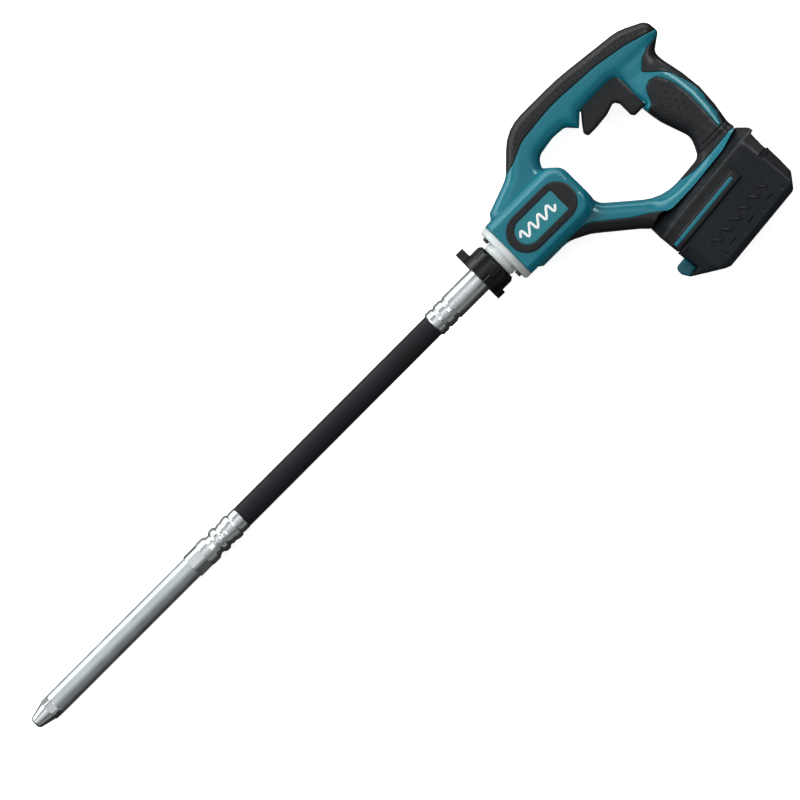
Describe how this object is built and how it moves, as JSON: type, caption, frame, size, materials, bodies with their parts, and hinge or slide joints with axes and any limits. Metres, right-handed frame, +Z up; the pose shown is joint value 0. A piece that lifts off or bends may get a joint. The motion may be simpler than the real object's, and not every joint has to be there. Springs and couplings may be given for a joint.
{
  "type": "concrete vibrator",
  "caption": "Cordless concrete vibrator with a D-shaped handle, L-shaped trigger, slide-in battery, quick-lock flexible shaft and steel poker head, lying on its side.",
  "frame": {"origin": "middle of the box round the tool without its hose, on the floor it lies on", "axes": "+X along the shaft from the head towards the handle, +Y towards the front bar of the handle, +Z up out of the tool's left side"},
  "size_m": [0.9598, 0.2626, 0.08],
  "materials": {
    "head_steel": "turned and ground",
    "ferrule_steel": "bright plated and crimped",
    "shaft_steel": "ground",
    "bearing_steel": "polished",
    "spring_steel": "drawn wire",
    "screw_steel": "black oxide",
    "seal_rubber": "smooth",
    "hose_rubber": "matt, lightly ribbed by its wrap",
    "ring_black": "satin black",
    "cast_alloy": "fine cast and turned",
    "motor_alloy": "cast",
    "lamination": "stacked sheet",
    "magnet": "nickel plated",
    "copper_winding": "varnished wire",
    "circuit_board": "solder mask",
    "potting": "potted",
    "wire_insulation": "smooth",
    "contact_brass": "bright",
    "cell_sleeve": "shrink sleeve",
    "teal_housing": "satin moulded",
    "badge_teal": "satin moulded inlay",
    "button_teal": "satin moulded",
    "black_plastic": "satin moulded",
    "battery_black": "fine spark texture",
    "black_overmould": "dimpled elastomer"
  },
  "bodies": {
    "root": {"head_cap": "head_steel", "head_tube": "head_steel", "head_bearings": "bearing_steel", "head_seals": "seal_rubber", "lower_hose_ferrule": "ferrule_steel", "hose": "hose_rubber", "hose_liner": "spring_steel", "flexible_core": "shaft_steel", "upper_hose_ferrule": "ferrule_steel", "nose_flange": "cast_alloy", "nose_flange_screws": "screw_steel", "stator_core": "lamination", "stator_coils": "copper_winding", "sensor_board": "circuit_board", "motor_can": "motor_alloy", "motor_bearings": "bearing_steel", "controller": "potting", "housing_left": "teal_housing", "housing_right": "teal_housing", "front_guard_left": "black_overmould", "front_guard_right": "black_overmould", "thumb_rest_left": "black_overmould", "thumb_rest_right": "black_overmould", "strut_guard_left": "black_overmould", "strut_guard_right": "black_overmould", "grip_pad_left": "black_overmould", "grip_pad_right": "black_overmould", "badge_ring_left": "black_overmould", "badge_ring_right": "black_overmould", "badge_plate_left": "badge_teal", "badge_plate_right": "badge_teal", "housing_screws": "screw_steel", "trigger_pin": "shaft_steel", "trigger_spring": "spring_steel", "switch_body": "black_plastic", "wiring": "wire_insulation", "battery_shoe": "black_plastic", "terminal_block": "black_plastic", "terminal_blades": "contact_brass"},
    "trigger": {"trigger": "black_plastic"},
    "plunger": {"switch_plunger": "black_plastic"},
    "lock_ring": {"lock_ring": "ring_black"},
    "motor_rotor": {"motor_shaft": "shaft_steel", "rotor_core": "lamination", "rotor_magnets": "magnet", "cooling_fan": "black_plastic", "drive_coupling": "shaft_steel"},
    "head_rotor": {"eccentric_rotor": "shaft_steel"},
    "battery": {"battery_tub": "battery_black", "battery_lid": "battery_black", "battery_cells": "cell_sleeve", "battery_board": "circuit_board", "battery_terminals": "contact_brass", "button_spring": "spring_steel"},
    "release_button": {"release_button": "button_teal"}
  },
  "joints": [
    {"name": "trigger_squeeze", "type": "hinge", "parent": "root", "child": "trigger", "pos_m": [0.41925, 0.05085, 0.04], "axis": [0, 0, -1], "range_deg": [0, 8], "stiffness_Nm_per_rad": 1.5, "springref_deg": -6.88, "deforming": ["trigger_spring"]},
    {"name": "plunger_travel", "type": "slide", "parent": "root", "child": "plunger", "axis": [1, 0, 0], "range_m": [0, 0.0062]},
    {"name": "lock_ring_turn", "type": "hinge", "parent": "root", "child": "lock_ring", "pos_m": [0.18225, 0.04135, 0.04], "axis": [1, 0, 0], "range_deg": [0, 60]},
    {"name": "motor_spin", "type": "hinge", "parent": "root", "child": "motor_rotor", "pos_m": [0.25525, 0.04135, 0.04], "axis": [1, 0, 0], "continuous": true},
    {"name": "head_spin", "type": "hinge", "parent": "root", "child": "head_rotor", "pos_m": [-0.34975, 0.04135, 0.0143], "axis": [1, 0, 0], "continuous": true},
    {"name": "battery_slide", "type": "slide", "parent": "root", "child": "battery", "axis": [-0.9954, -0.0958, 0], "range_m": [0, 0.15]},
    {"name": "button_press", "type": "slide", "parent": "battery", "child": "release_button", "axis": [0.0958, -0.9954, 0], "range_m": [0, 0.004], "stiffness_N_per_m": 2000, "springref_m": -0.002, "deforming": ["button_spring"]}
  ],
  "couplings": [
    {"joint": "plunger_travel", "follows": "trigger_squeeze", "m_per_rad": 0.0415},
    {"joint": "head_spin", "follows": "motor_spin", "ratio": 1}
  ]
}
